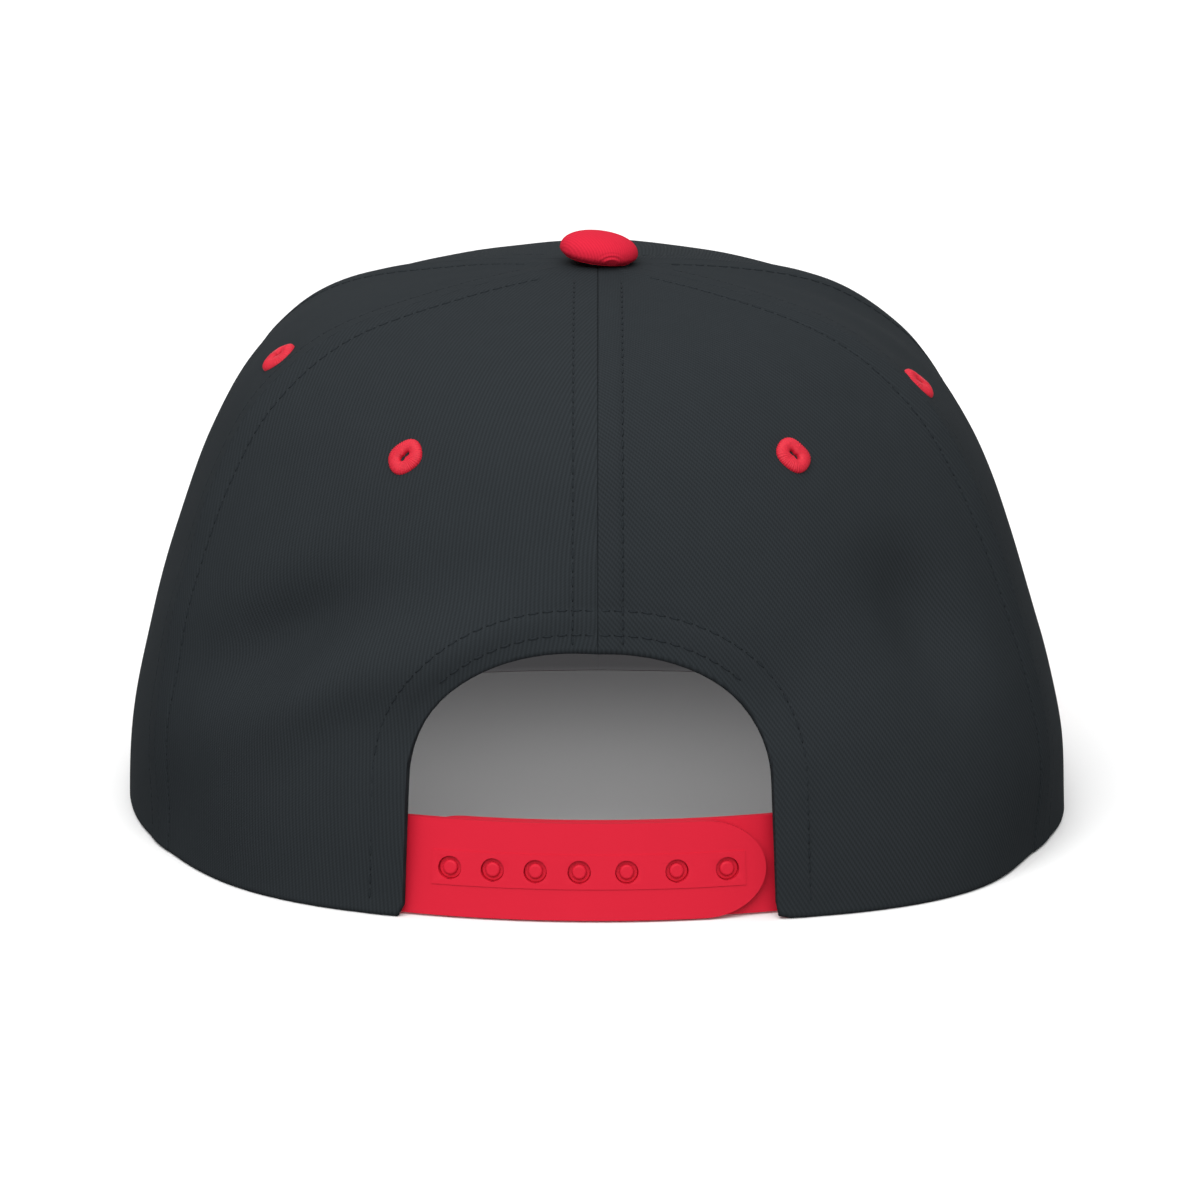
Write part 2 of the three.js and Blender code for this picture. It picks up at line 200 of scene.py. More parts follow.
def along(values, share):
    """Smooth curve through evenly spaced values."""
    ends = np.array([2 * values[0] - values[1], *values, 2 * values[-1] - values[-2]])
    place = np.clip(share, 0, 1) * (len(values) - 1)
    i = np.minimum(place.astype(int), len(values) - 2)
    u = place - i
    a, b, c, d = (ends[i + n] for n in range(4))
    return b + 0.5 * u * (c - a + u * (2 * a - 5 * b + 4 * c - d + u * (3 * (b - c) + d - a)))


def crown_point(turn, share, panel=None):
    """Outer face of the crown, turn degrees from the back towards +X; takes arrays."""
    turn, share = np.broadcast_arrays(np.asarray(turn, float), np.asarray(share, float))
    sin, cos = np.sin(np.radians(turn)), np.cos(np.radians(turn))
    back = cos >= 0
    deep_rise = np.where(back, along(RISE["back"], share), along(RISE["front"], share))
    up = CROWN_HEIGHT * (along(RISE["side"], share) * sin ** 2 + deep_rise * cos ** 2)
    power = along(PLAN["square"], share)
    side = along(PLAN["side"], share) * CROWN_HALF_WIDTH
    deep = np.where(back, along(PLAN["back"], share) * CROWN_BACK,
                    along(PLAN["front"], share) * CROWN_FRONT)
    side, deep = np.maximum(side, 1e-9), np.maximum(deep, 1e-9)
    reach = (abs(sin / side) ** power + abs(cos / deep) ** power) ** (-1 / power)
    if panel:
        flat = along(PLAN["flat"], share)
        half = math.radians((panel.end - panel.start) / 2)
        off = np.radians(turn - (panel.start + panel.end) / 2)
        reach = reach * (1 - flat + flat * math.cos(half) / np.cos(off)) * (1 + PANEL_SPREAD * flat)
    for soft_turn, soft_along, wide, tall, depth, lean in SOFT_SHAPES:
        rise = share - soft_along
        swing = turn - soft_turn - lean * rise
        swing = swing - 360 * np.round(swing / 360)
        fade = (swing / wide) ** 2 + (rise / tall) ** 2
        reach = reach + depth * CROWN_HALF_WIDTH * np.exp(-fade)
    return np.stack((reach * sin, CROWN_Y - reach * cos, up), axis=-1)


def crown_normal(turn, share):
    """Outward direction of the plain crown, level along the rim."""
    across = crown_point(turn + 0.5, share) - crown_point(turn - 0.5, share)
    upward = crown_point(turn, share + 0.004) - crown_point(turn, share - 0.004)
    out = np.cross(across, upward)
    out[..., 2] *= np.clip(np.asarray(share) / 0.01, 0, 1)
    return out / np.linalg.norm(out, axis=-1, keepdims=True)


def eyelet_spot(panel):
    return crown_point(panel.eyelet_turn, panel.eyelet_share, panel)


def on_back(x, z, panel):
    """Turn and share of the points of a back panel that show at x, z from behind."""
    turn, share = np.degrees(np.arcsin(x / CROWN_HALF_WIDTH)), 0.95 * z / CROWN_HEIGHT
    for _ in range(8):
        spot = crown_point(turn, share, panel)
        slope_x = (crown_point(turn + 0.5, share, panel) - spot)[:, 0] / 0.5
        slope_z = (crown_point(turn, share + 0.01, panel) - spot)[:, 2] / 0.01
        turn = turn + (x - spot[:, 0]) / slope_x
        share = share + (z - spot[:, 2]) / slope_z
    return turn, share


def smooth(low, high, value):
    """Eases from 0 at low to 1 at high."""
    t = np.clip((value - low) / (high - low), 0, 1)
    return t * t * (3 - 2 * t)


def run_of(points):
    """Running length along a row of points."""
    return np.concatenate(([0], np.cumsum(np.linalg.norm(np.diff(points, axis=0), axis=1))))


def resampled(points, run, at):
    """The row of points, read at the running lengths at."""
    return np.stack([np.interp(at, run, points[:, n]) for n in range(points.shape[1])], axis=-1)


def stretches(keep):
    """The unbroken runs of places where keep holds."""
    places = np.flatnonzero(keep)
    runs = np.split(places, np.flatnonzero(np.diff(places) > 1) + 1)
    return [run for run in runs if len(run) > 3]


def near_line(points):
    """A search tree over points laid closely along a line."""
    run = run_of(points)
    close = resampled(points, run, np.arange(0, run[-1], 0.25 * MM))
    tree = kdtree.KDTree(len(close))
    for i, spot in enumerate(close):
        tree.insert(spot, i)
    tree.balance()
    return tree


def distances(tree, points):
    """How far each point lies from the tree's line."""
    flat = points.reshape(-1, 3)
    return np.array([tree.find(spot)[2] for spot in flat]).reshape(points.shape[:-1])


# Opening in the two back panels

def arch_half(hand, side=0.0, top=0.0, corner=0.0):
    """Half of the opening's outline from its top down to the rim, as turn and share.
    side and top set it out from the edge, corner rounds the cloth's lower corner."""
    half, rise = ARCH_HALF_WIDTH + side, ARCH_RISE + top
    angle = np.linspace(0.5 * math.pi, 0, 60)
    x = half * np.clip(np.cos(angle), 0, 1) ** (2 / ARCH_SQUARE)
    z = ARCH_LOW + rise * np.sin(angle) ** (2 / ARCH_SQUARE)
    fall = np.linspace(0, 1, 40)[1:]
    height = ARCH_LOW * (1 - fall)
    turned = corner * np.clip(1 - height / (2 * corner), 0, 1) ** 2 if corner else 0
    x = np.concatenate((x, half + ARCH_FLARE * fall + turned))
    z = np.concatenate((z, height))
    x = ARCH_CENTRE + hand * x
    keep = hand * x > 0
    x, z = np.concatenate(([0], x[keep])), np.concatenate(([z[keep][0]], z[keep]))
    return on_back(x, z, PANELS[1] if hand > 0 else PANELS[0])


def opening_lines(panel):
    """Edge and stitching of the opening on a back panel: turns, shares and search trees."""
    hand = 1 if panel.start == 0 else -1
    lines = {"edge": arch_half(hand, corner=ARCH_CORNER),
             "row": arch_half(hand, HEM_SIDE, HEM_TOP),
             "near_row": arch_half(hand, 0.6 * HEM_NEAR, HEM_NEAR)}
    for name in ("edge", "row", "near_row"):
        lines[name + "_tree"] = near_line(crown_point(*lines[name], panel))
    return lines


openings = {panel.name: opening_lines(panel) for panel in PANELS[:2]}


# Cloth of the crown

def relief(panel, turn, share, plain):
    """How far the cloth stands over the plain crown: folds at seams and hem, rows, slack."""
    radius = np.hypot(plain[..., 0], plain[..., 1] - CROWN_Y)
    clear = smooth(0.5, 1.4, radius / BUTTON_RADIUS)
    lift = np.zeros_like(radius)
    for seam in (panel.start, panel.end):
        away = radius * np.radians(abs(turn - seam))
        roll = SEAM_ROLL if seam == 0 else 0.5 * SEAM_ROLL
        lift -= roll * (1 - np.sqrt(1 - np.clip(1 - away / roll, 0, 1) ** 2))
        fold = SEAM_FOLD * (1 - smooth(SEAM_ROW - 0.4 * MM, SEAM_ROW + 1.6 * MM, away))
        pull = SEAM_PULL * np.exp(-((away - SEAM_ROW) / (0.55 * MM)) ** 2)
        lift += (fold - pull) * clear
    if panel.name in openings:
        lines = openings[panel.name]
        from_edge = distances(lines["edge_tree"], plain)
        towards_top = smooth(ARCH_LOW, ARCH_LOW + ARCH_RISE, plain[..., 2])
        width = HEM_SIDE + (HEM_TOP - HEM_SIDE) * towards_top
        lift += HEM_FOLD * (1 - smooth(width - 0.8 * MM, width + 1.2 * MM, from_edge))
        for name, deep in HEM_PULL.items():
            lift -= deep * np.exp(-(distances(lines[name + "_tree"], plain) / (1.1 * MM)) ** 2)
    slack = [noise.noise((t / 14, s * 9, 3.1)) for t, s in zip(turn.ravel(), share.ravel())]
    lift += CLOTH_SLACK * np.array(slack).reshape(lift.shape) * clear
    sunk = eyelet_spot(panel)
    off = np.linalg.norm(plain - sunk, axis=-1)
    return lift - EYELET_DENT * np.exp(-(off / (4.6 * MM)) ** 2)


def cloth_spot(panel, turn, share):
    """Points on the finished outer face, and the outward direction there."""
    turn, share = np.broadcast_arrays(np.asarray(turn, float), np.asarray(share, float))
    plain = crown_point(turn, share, panel)
    out = crown_normal(turn, share)
    return plain + out * relief(panel, turn, share, plain)[..., None], out


# Mesh of a panel: columns close along both seams and even between them, rows closer at the rim
SEAM_STEPS = MM * np.array((0, 0.15, 0.35, 0.7, 1.2, 1.9, 2.8, 3.5, 4, 4.35, 4.7, 5.05, 5.5,
                            6.2, 7.2))
MIDDLE_COLUMNS = 52
COLUMNS = 2 * (len(SEAM_STEPS) - 1) + MIDDLE_COLUMNS
FACE_ROWS = 112
EDGE_ROWS = 6


def column_shares(width):
    """Shares of a width at each column: close columns along both seams, even ones between."""
    near = SEAM_STEPS / width * min(1, 0.3 * width / SEAM_STEPS[-1])
    middle = np.linspace(near[-1], 1 - near[-1], MIDDLE_COLUMNS + 1)[1:-1]
    return np.concatenate((near, middle, 1 - near[::-1]))


def lower_edge(panel):
    """Turn and share along the panel's lower edge, one for each column."""
    name, start, end = panel[:3]
    turn, share = np.linspace(start, end, 160), np.zeros(160)
    if name in openings:
        arch_turn, arch_share = openings[name]["edge"]
        outer = start if name == "back_left" else end
        rim = np.linspace(arch_turn[-1], outer, 80)[1:]
        turn, share = np.concatenate((arch_turn, rim)), np.concatenate((arch_share, 0 * rim))
        if name == "back_left":
            turn, share = turn[::-1], share[::-1]
    run = run_of(crown_point(turn, share, panel))
    at = run[-1] * column_shares(run[-1])
    return np.interp(at, run, turn), np.interp(at, run, share)


def panel_places(panel):
    """Turn and share of each column and row of a panel, from its lower edge to its tip."""
    start, end = panel[1:3]
    low_turn, low_share = lower_edge(panel)
    up = (np.arange(FACE_ROWS + 1) / FACE_ROWS) ** 1.25
    reach = PANEL_LENGTH * (TIP_ALONG - low_share)
    up = up + (1 - up) * (CLOTH_THICK / 2) / reach[:, None]
    share = low_share[:, None] + (TIP_ALONG - low_share[:, None]) * up
    low = (low_turn - start) / (end - start)
    place = np.empty_like(share)
    for i in range(len(low)):
        ends = crown_point(np.array([[start], [(start + end) / 2], [end]]), share[i])
        width = np.linalg.norm(np.diff(ends, axis=0), axis=-1).sum(axis=0)
        shares = np.array([column_shares(max(w, 0.1 * MM))[i] for w in width])
        place[i] = shares + (low[i] - shares[0]) * (1 - up[i])
    return start + (end - start) * place, share


def cloth_flat(panel, turn, share):
    """Where points of a panel lie on the flat cloth, in metres, with its ribs upright."""
    middle = (panel.start + panel.end) / 2
    steps = np.linspace(0, 1, 101)
    line = crown_point(middle, steps)
    up = np.interp(share, steps, run_of(line))
    radius = np.interp(share, steps, np.hypot(line[:, 0], line[:, 1] - CROWN_Y))
    beside = radius * np.radians(turn - middle)
    ribs = math.radians(panel.rib_turn)
    return np.stack((beside * math.cos(ribs) + up * math.sin(ribs),
                     up * math.cos(ribs) - beside * math.sin(ribs)), axis=-1)


def crown_panel(panel, material, backing):
    """One panel of the crown: outer face, rounded lower edge and inner face, closed all round.
    backing is the finish of the inner face."""
    turn, share = panel_places(panel)
    outer, out = cloth_spot(panel, turn, share)
    inner = crown_point(turn, share, panel) - CLOTH_THICK * out
    weave_at = cloth_flat(panel, turn, share)
    downward = outer[:, 0] - outer[:, 1]
    downward /= np.linalg.norm(downward, axis=-1, keepdims=True)
    turned_in = panel.name.startswith("front")
    rows = 2 * FACE_ROWS + EDGE_ROWS
    bm = bmesh.new()
    bmesh.ops.create_grid(bm, x_segments=COLUMNS, y_segments=rows, size=0.5)
    weave = bm.verts.layers.float_vector.new("weave_place")
    faces = {}
    for vert in bm.verts:
        i, k = round((vert.co.x + 0.5) * COLUMNS), round((vert.co.y + 0.5) * rows)
        r = max(FACE_ROWS - k, k - FACE_ROWS - EDGE_ROWS, 0)
        if k <= FACE_ROWS:
            spot, faces[vert] = outer[i, r], "outer"
        elif k >= FACE_ROWS + EDGE_ROWS:
            spot, faces[vert] = inner[i, r], "inner"
        else:
            faces[vert] = "inner" if turned_in and 2 * (k - FACE_ROWS) >= EDGE_ROWS else "edge"
            angle = math.pi * (k - FACE_ROWS) / EDGE_ROWS
            middle = (outer[i, 0] + inner[i, 0]) / 2
            spot = (middle + (outer[i, 0] - middle) * math.cos(angle)
                    + downward[i] * CLOTH_THICK / 2 * math.sin(angle))
        vert.co = (spot[0], spot[1], max(spot[2], 0))
        vert[weave] = (*weave_at[i, r], 0)
    open_edges = [e for e in bm.edges if e.is_boundary
                  and faces[e.verts[0]] == faces[e.verts[1]] != "edge"]
    bmesh.ops.bridge_loops(bm, edges=open_edges)
    bmesh.ops.holes_fill(bm, edges=[e for e in bm.edges if e.is_boundary], sides=0)
    bmesh.ops.recalc_face_normals(bm, faces=bm.faces)
    for face in bm.faces:
        face.material_index = int(all(faces[vert] == "inner" for vert in face.verts))
    write_uv(bm, weave)
    piece = add_piece("cloth_" + panel.name, bm, material, ["crown_" + panel.name])
    piece.data.materials.append(backing)
    return piece


def write_uv(bm, layer):
    """Keeps each point's place on the flat cloth as the weave's UV map."""
    uv = bm.loops.layers.uv.new("weave")
    for face in bm.faces:
        for loop in face.loops:
            loop[uv].uv = loop.vert[layer][:2]
    bm.verts.layers.float_vector.remove(layer)


def finished_mesh(name, bm):
    """The bmesh as a mesh; the bmesh is freed."""
    mesh = bpy.data.meshes.new(name)
    bm.to_mesh(mesh)
    bm.free()
    return mesh


def joined(meshes):
    """One bmesh of all the meshes."""
    bm = bmesh.new()
    for mesh in meshes:
        bm.from_mesh(mesh)
        bpy.data.meshes.remove(mesh)
    return bm


def add_piece(name, bm, material, replaces=(), sharp=None):
    """Makes the piece from its bmesh, gives it its finish and hangs it on the frame."""
    mesh = finished_mesh(name, bm)
    for face in mesh.polygons:
        face.use_smooth = True
    if sharp:
        mesh.set_sharp_from_angle(angle=math.radians(sharp))
    piece = bpy.data.objects.new(name, mesh)
    bpy.context.scene.collection.objects.link(piece)
    mesh.materials.append(material)
    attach(piece, "root")
    if replaces:
        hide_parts(*replaces)
    return piece


# Stitches

def stitch_row(points, outs):
    """The mesh of a row of stitches along points, each lying flat on the cloth."""
    bm = bmesh.new()
    bm.loops.layers.uv.new("UVMap")
    run = run_of(points)
    for middle in np.arange(0.5 * STITCH_PITCH, run[-1] - 0.5 * STITCH_PITCH, STITCH_PITCH):
        a, b = (Vector(resampled(points, run, middle + s * STITCH_PITCH)) for s in (-0.25, 0.25))
        out = Vector(resampled(outs, run, middle))
        heading = (b - a).normalized()
        beside = out.cross(heading).normalized()
        turned = Matrix((heading, beside, heading.cross(beside))).transposed().to_4x4()
        sized = Matrix.Diagonal((STITCH_LENGTH / 2, 1.15 * THREAD_RADIUS, THREAD_RADIUS, 1))
        lying = Matrix.Rotation(math.pi / 2, 4, "Y")
        bmesh.ops.create_uvsphere(bm, u_segments=6, v_segments=5, radius=1, calc_uvs=True,
                                  matrix=Matrix.Translation((a + b) / 2) @ turned @ sized @ lying)
    return finished_mesh("stitch_row", bm)


def crown_stitches(material):
    """Topstitching on both sides of every seam."""
    rows = []
    share = np.linspace(0, SEAM_ROW_TOP, 240)
    for panel in PANELS:
        for seam, hand in ((panel.start, 1), (panel.end, -1)):
            plain = crown_point(seam, share, panel)
            radius = np.hypot(plain[:, 0], plain[:, 1] - CROWN_Y)
            turn = seam + hand * np.degrees(SEAM_ROW / radius)
            points, outs = cloth_spot(panel, turn, share)
            off = np.linalg.norm(points - eyelet_spot(panel), axis=1)
            keep = off > EYELET_RADIUS
            if seam == 0:
                keep = keep & (points[:, 2] > ARCH_LOW + ARCH_RISE + 0.8 * MM)
            rows += [stitch_row(points[run], outs[run]) for run in stretches(keep)]
    return add_piece("crown_topstitch", joined(rows), material)


def opening_stitches(material):
    """Two rows round the hem of the opening."""
    rows = []
    for panel in PANELS[:2]:
        for name in ("row", "near_row"):
            turn, share = openings[panel.name][name]
            lowest = 0.006
            if name == "near_row":        # sewn only round the opening's top
                lowest = 0.95 * (ARCH_LOW + 0.4 * ARCH_RISE) / CROWN_HEIGHT
            keep = share > lowest
            rows.append(stitch_row(*cloth_spot(panel, turn[keep], share[keep])))
    return add_piece("opening_topstitch", joined(rows), material)


# Eyelets and button

def eyelet(panel, material):
    """A ring of thread worked over the edge of a hole: radial threads on both faces."""
    thread = EYELET_RADIUS - EYELET_BORE
    section = ((0, 0.1), (0.05, 0.5), (0.16, 0.82), (0.34, 1), (0.56, 0.99), (0.76, 0.8),
               (0.9, 0.48), (0.98, 0.1), (1, -0.35))
    profile = [(EYELET_BORE + out * thread, up * EYELET_PUFF) for out, up in section]
    profile += [(EYELET_BORE + out * thread, -CLOTH_THICK - 0.6 * up * EYELET_PUFF)
                for out, up in reversed(section)]
    bm = bmesh.new()
    verts = [bm.verts.new((x, 0, z)) for x, z in profile]
    edges = [bm.edges.new(pair) for pair in zip(verts, verts[1:] + verts[:1])]
    bmesh.ops.spin(bm, geom=verts + edges, cent=(0, 0, 0), axis=(0, 0, 1), angle=math.tau,
                   steps=4 * EYELET_THREADS, use_merge=True)
    bmesh.ops.remove_doubles(bm, verts=bm.verts, dist=1e-7)
    hand = 1 if panel.eyelet_turn > 0 else -1
    for vert in bm.verts:
        angle = math.atan2(vert.co.y, vert.co.x)
        out = (math.hypot(vert.co.x, vert.co.y) - EYELET_BORE) / thread
        outward = Vector((vert.co.x, vert.co.y, 0)).normalized()
        drift = noise.noise((3 * math.cos(angle), 3 * math.sin(angle), hand))
        swirl = EYELET_THREADS * angle + 3 * drift
        ridge = math.cos(swirl) * EYELET_RIDGE * min(1, max(out, 0) + 0.3)
        leaning = math.cos(2 * (angle + hand * math.radians(58)))
        oval = 1 + 0.05 * leaning + 0.03 * math.cos(4 * angle + 0.5)
        slit = 1 + (0.42 * leaning - 0.1) * min(1, max(0, 1 - out)) ** 1.5
        uneven = 0.12 * MM * noise.noise((1.3 * math.cos(angle), 1.3 * math.sin(angle), 5 + hand))
        vert.co.x *= oval * slit
        vert.co.y *= oval * slit
        if vert.co.z > -CLOTH_THICK / 2:
            vert.co.z += ridge + uneven
        else:
            vert.co.z -= ridge
        if out > 0.85:
            vert.co += outward * ridge
    bmesh.ops.recalc_face_normals(bm, faces=bm.faces)
    spot = Vector(eyelet_spot(panel))
    out = Vector(crown_normal(panel.eyelet_turn, panel.eyelet_share))
    across = Vector((0, 0, 1)).cross(out).normalized()
    turned = Matrix((across, out.cross(across), out)).transposed().to_4x4()
    bmesh.ops.transform(bm, matrix=Matrix.Translation(spot) @ turned, verts=bm.verts)
    return add_piece("thread_" + panel.name, bm, material,
                     ["eyelet_" + panel.name])


def top_button(material):
    """A domed button under cloth that is pulled into small folds round its lower edge."""
    profile = [(0.0, 0.0), (0.5, 0.0), (0.84, 0.0)]
    steps = 72
    for i in range(steps + 1):
        angle = math.radians(-38 + 128 * i / steps)
        out = abs(math.cos(angle)) ** 0.85
        up = 0.3 + (0.7 * math.sin(angle) ** 0.92 if angle > 0 else 0.48 * math.sin(angle))
        profile.append((out if i < steps else 0.0, up))
    bm = bmesh.new()
    verts = [bm.verts.new((x * BUTTON_RADIUS, 0, z * BUTTON_HEIGHT)) for x, z in profile]
    edges = [bm.edges.new(pair) for pair in zip(verts, verts[1:])]
    bmesh.ops.spin(bm, geom=verts + edges, cent=(0, 0, 0), axis=(0, 0, 1), angle=math.tau,
                   steps=160, use_merge=True)
    bmesh.ops.remove_doubles(bm, verts=bm.verts, dist=1e-7)
    weave = bm.verts.layers.float_vector.new("weave_place")
    pull = Vector((0.45 * BUTTON_RADIUS, -1.2 * BUTTON_RADIUS, -0.3 * BUTTON_HEIGHT))
    for vert in bm.verts:
        vert[weave] = vert.co * (1 + 0.3 * (1 - vert.co.z / BUTTON_HEIGHT))
        away = (vert.co - pull).length
        fold = math.sin(math.tau * away / BUTTON_FOLD_STEP)
        near = 1 - smooth(3.4 * MM, 5.6 * MM, away)
        folded = near * smooth(0, 0.12, vert.co.z / BUTTON_HEIGHT)
        out = Vector((vert.co.x, vert.co.y, 0.6 * vert.co.z)).normalized()
        vert.co += out * BUTTON_FOLD * fold * float(folded)
    bmesh.ops.recalc_face_normals(bm, faces=bm.faces)
    write_uv(bm, weave)
    turned = Matrix.Rotation(math.radians(BUTTON_TILT), 4, "Y")
    placed = Matrix.Translation((0, CROWN_Y, BUTTON_BASE)) @ turned
    bmesh.ops.transform(bm, matrix=placed, verts=bm.verts)
    return add_piece("button_cover", bm, material, ["top_button"])


# Snap strap

def across_opening(share):
    """X of a share of the opening's half-width."""
    return ARCH_CENTRE + share * ARCH_HALF_WIDTH


def strap_outline(hidden_end, tip):
    """The strap from behind, square at its hidden end and round at its tip, as x and z."""
    heading = math.copysign(1, tip - hidden_end)
    shoulder = tip - heading * STRAP_TAIL
    outline = [(hidden_end, STRAP_LOW)]
    for angle in np.linspace(-0.5 * math.pi, 0.5 * math.pi, 41):
        outline.append((shoulder + heading * STRAP_TAIL * math.cos(angle),
                        STRAP_LOW + STRAP_WIDTH * (1 + math.sin(angle)) / 2))
    return outline + [(hidden_end, STRAP_TOP)]


def moulded_plate(outline, holes, front, thick, soft):
    """A plate standing in X and Z with its front face at depth front, holes and soft edges."""
    bm = bmesh.new()
    verts = [bm.verts.new((x, front, z)) for x, z in outline]
    edges = [bm.edges.new(pair) for pair in zip(verts, verts[1:] + verts[:1])]
    for x, z in holes:
        upright = Matrix.Translation((x, front, z)) @ Matrix.Rotation(math.pi / 2, 4, "X")
        ring = bmesh.ops.create_circle(bm, segments=40, radius=SNAP_HOLE, matrix=upright)
        edges += list({edge for vert in ring["verts"] for edge in vert.link_edges})
    bmesh.ops.triangle_fill(bm, use_beauty=True, use_dissolve=False, edges=edges)
    low, high = min(x for x, _ in outline), max(x for x, _ in outline)
    for x in np.arange(low + STRAP_STRIP, high - 1 * MM, STRAP_STRIP):
        bmesh.ops.bisect_plane(bm, geom=bm.verts[:] + bm.edges[:] + bm.faces[:], dist=1e-6,
                               plane_co=(x, 0, 0), plane_no=(1, 0, 0))
    back = bmesh.ops.extrude_face_region(bm, geom=bm.faces[:])
    moved = [g for g in back["geom"] if isinstance(g, bmesh.types.BMVert)]
    bmesh.ops.translate(bm, vec=(0, thick, 0), verts=moved)
    bmesh.ops.recalc_face_normals(bm, faces=bm.faces)
    rim = [e for e in bm.edges if len(e.link_faces) == 2
           and e.calc_face_angle() > math.radians(60)
           and abs(e.verts[0].co.y - e.verts[1].co.y) < 1e-7]
    bmesh.ops.bevel(bm, geom=rim, offset=soft, offset_type="OFFSET", segments=3, profile=0.5,
                    affect="EDGES", clamp_overlap=True, material=-1)
    return finished_mesh("plate", bm)


def bent_strap(name, plates, lift, material, node):
    """Joins flat plates, bends them to the strap's arc and makes the piece."""
    bm = joined(plates)
    for vert in bm.verts:
        x, depth, up = vert.co
        turn = math.asin(x / STRAP_BEND)
        reach = STRAP_BEND + lift - STRAP_LEAN * up - depth
        vert.co = (reach * math.sin(turn), STRAP_AXIS - reach * math.cos(turn), up)
    piece = add_piece(name, bm, material, [node], sharp=35)
    piece.modifiers.new("even_faces", "WEIGHTED_NORMAL").keep_sharp = True
    return piece


def strap_outer(material):
    """The strap on top, with its raised band and its holes."""
    hidden = ARCH_CENTRE - ARCH_HALF_WIDTH - ARCH_FLARE - STRAP_TUCK
    snaps = [(across_opening(share), SNAP_UP) for share in SNAP_ACROSS]
    low, high = snaps[0][0] - BAND_MARGIN, snaps[-1][0] + BAND_MARGIN
    half = BAND_WIDTH / 2
    band = [(low, SNAP_UP - half), (high, SNAP_UP - half),
            (high, SNAP_UP + half), (low, SNAP_UP + half)]
    outline = strap_outline(hidden, across_opening(OUTER_TIP))
    plates = [moulded_plate(outline, snaps, 0, STRAP_THICK, STRAP_SOFT_EDGE),
              moulded_plate(band, snaps, -BAND_RISE, BAND_RISE + STRAP_THICK / 2, BAND_SOFT_EDGE)]
    return bent_strap("strap_over", plates, 0, material, "snap_strap_outer")


def stud(x, front, radius, rounding):
    """A round stud out to depth front, with a rounded rim."""
    bm = bmesh.new()
    middle = Matrix.Translation((x, (front + STUD_FOOT) / 2, SNAP_UP))
    bmesh.ops.create_cone(bm, cap_ends=True, cap_tris=False, segments=36, radius1=radius,
                          radius2=radius, depth=STUD_FOOT - front,
                          matrix=middle @ Matrix.Rotation(math.pi / 2, 4, "X"))
    rim = [e for e in bm.edges if all(abs(v.co.y - front) < 1e-6 for v in e.verts)]
    bmesh.ops.bevel(bm, geom=rim, offset=rounding, offset_type="OFFSET", segments=5, profile=0.5,
                    affect="EDGES", clamp_overlap=True, material=-1)
    return finished_mesh("stud", bm)


def strap_inner(material):
    """The strap behind it, with a stud in every hole."""
    hidden = ARCH_CENTRE + ARCH_HALF_WIDTH + ARCH_FLARE + STRAP_TUCK
    lift = -(STRAP_THICK + STRAP_GAP)
    outline = strap_outline(hidden, across_opening(INNER_TIP))
    plates = [moulded_plate(outline, [], 0, STRAP_THICK, STRAP_SOFT_EDGE)]
    for share in SNAP_ACROSS:
        x = across_opening(share)
        plates.append(stud(x, lift - STUD_PROUD, SNAP_STUD, STUD_ROUNDING))
        plates.append(stud(x, lift + COLLAR_SUNK, SNAP_COLLAR, COLLAR_ROUNDING))
    return bent_strap("strap_under", plates, lift, material, "snap_strap_inner")


# Bill

def beside_rim(turn):
    """Points just outside the rim, level with its lower edge."""
    spots = []
    for t in np.atleast_1d(turn):
        panel = next(p for p in PANELS if p.start <= t <= p.end)
        spot = crown_point(t, 0, panel)
        out = (spot - (0, CROWN_Y, 0)) / np.linalg.norm(spot - (0, CROWN_Y, 0))
        spots.append(spot + BILL_GAP * out)
    return np.array(spots)


def bill_edge(across):
    """The bill's outer edge from one rear corner (0) over the tip (0.5) to the other (1)."""
    swing = 1 - abs(2 * across - 1)
    corner = beside_rim(BILL_TURN)[0]
    tip = CROWN_Y + CROWN_FRONT + BILL_LENGTH
    half = (along(BILL_EDGE["out"], swing) * corner[0]
            + along(BILL_EDGE["flare"], swing) * BILL_FLARE)
    ahead = corner[1] + (tip - corner[1]) * along(BILL_EDGE["ahead"], swing)
    return np.stack((np.sign(across - 0.5) * half, ahead, 0 * half), axis=-1)


bill_line = bill_edge(np.linspace(0, 1, 801))
bill_tree = near_line(bill_line)
rim_tree = near_line(beside_rim(np.concatenate((np.linspace(BILL_TURN, 180, 90),
                                                np.linspace(-180, -BILL_TURN, 90)))))


def bill_sinking(spots):
    """How far the cloth of the bill is drawn down: rows of stitching and the rounded edge."""
    away = distances(bill_tree, spots * (1, 1, 0))
    row = (away - BILL_ROW_FIRST) / BILL_ROW_STEP
    off = (row - np.clip(np.round(row), 0, BILL_ROWS - 1)) * BILL_ROW_STEP
    edge = BILL_THICK / 2 * (1 - np.sqrt(1 - np.clip(1 - away / (BILL_THICK / 2), 0, 1) ** 2))
    return BILL_PULL * np.exp(-(off / (0.7 * MM)) ** 2) + edge


